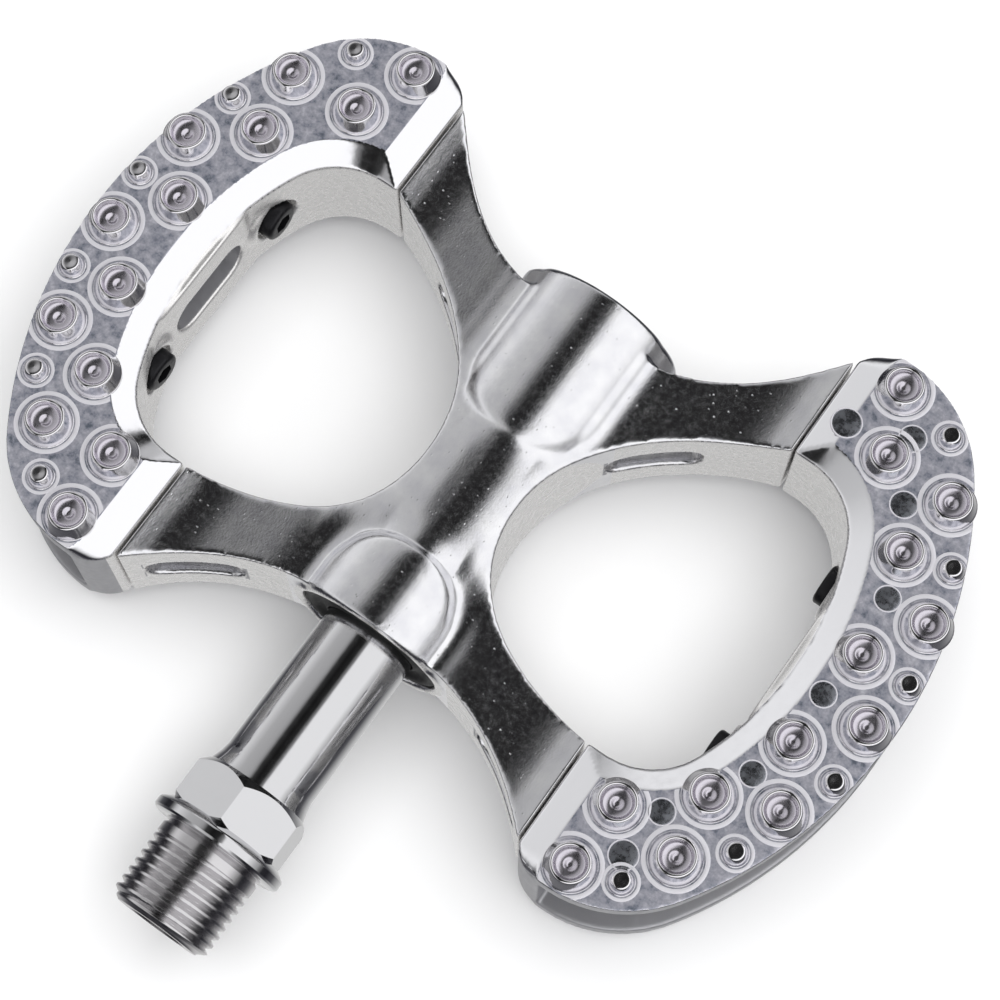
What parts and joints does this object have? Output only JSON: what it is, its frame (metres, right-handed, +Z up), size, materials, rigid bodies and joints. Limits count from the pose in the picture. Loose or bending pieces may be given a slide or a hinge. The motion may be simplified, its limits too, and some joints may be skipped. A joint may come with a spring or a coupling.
{
  "type": "bicycle platform pedal",
  "caption": "Double-sided flat bicycle pedal: X-shaped body, two studded crescent cages bolted to its arms, and a spinning axle on two sealed bearings.",
  "frame": {"origin": "middle of the bounding box, which lies on the axle's axis", "axes": "+X is the riding direction, +Y runs along the axle away from the crank, +Z is up"},
  "size_m": [0.123, 0.112, 0.025],
  "materials": {
    "forged_alloy": "polished forging with fine pits",
    "cast_alloy": "mottled cast face with polished edges",
    "black_screws": "blackened steel",
    "chromed_axle": "bright plated and turned",
    "seal_rubber": "matte black rubber",
    "retainer_brass": "pressed sheet",
    "zinc_plate": "zinc plated",
    "bearing_steel": "ground steel"
  },
  "bodies": {
    "axle_assembly": {"axle": "chromed_axle", "lock_washer": "zinc_plate", "lock_nut": "zinc_plate", "inboard_bearing_inner_race": "bearing_steel", "outboard_bearing_inner_race": "bearing_steel"},
    "platform": {"centre_body": "forged_alloy", "front_cage": "cast_alloy", "rear_cage": "cast_alloy", "front_cage_bolt_crank_side": "black_screws", "front_cage_bolt_outer_side": "black_screws", "rear_cage_bolt_crank_side": "black_screws", "rear_cage_bolt_outer_side": "black_screws", "axle_seal": "seal_rubber", "end_cap": "forged_alloy", "inboard_bearing_outer_race": "bearing_steel", "inboard_bearing_shield_crank_side": "seal_rubber", "inboard_bearing_shield_outer_side": "seal_rubber", "outboard_bearing_outer_race": "bearing_steel", "outboard_bearing_shield_crank_side": "seal_rubber", "outboard_bearing_shield_outer_side": "seal_rubber"},
    "inboard_balls": {"inboard_bearing_ball_retainer": "retainer_brass", "inboard_bearing_ball_1": "bearing_steel", "inboard_bearing_ball_2": "bearing_steel", "inboard_bearing_ball_3": "bearing_steel", "inboard_bearing_ball_4": "bearing_steel", "inboard_bearing_ball_5": "bearing_steel", "inboard_bearing_ball_6": "bearing_steel", "inboard_bearing_ball_7": "bearing_steel"},
    "outboard_balls": {"outboard_bearing_ball_retainer": "retainer_brass", "outboard_bearing_ball_1": "bearing_steel", "outboard_bearing_ball_2": "bearing_steel", "outboard_bearing_ball_3": "bearing_steel", "outboard_bearing_ball_4": "bearing_steel", "outboard_bearing_ball_5": "bearing_steel", "outboard_bearing_ball_6": "bearing_steel", "outboard_bearing_ball_7": "bearing_steel"}
  },
  "joints": [
    {"name": "pedal_spin", "type": "hinge", "parent": "axle_assembly", "child": "platform", "pos_m": [0, 0, 0], "axis": [0, 1, 0], "continuous": true},
    {"name": "inboard_ball_orbit", "type": "hinge", "parent": "axle_assembly", "child": "inboard_balls", "pos_m": [0, 0, 0], "axis": [0, 1, 0], "continuous": true},
    {"name": "outboard_ball_orbit", "type": "hinge", "parent": "axle_assembly", "child": "outboard_balls", "pos_m": [0, 0, 0], "axis": [0, 1, 0], "continuous": true}
  ],
  "couplings": [
    {"joint": "inboard_ball_orbit", "follows": "pedal_spin", "ratio": 0.5845},
    {"joint": "outboard_ball_orbit", "follows": "pedal_spin", "ratio": 0.6089}
  ]
}
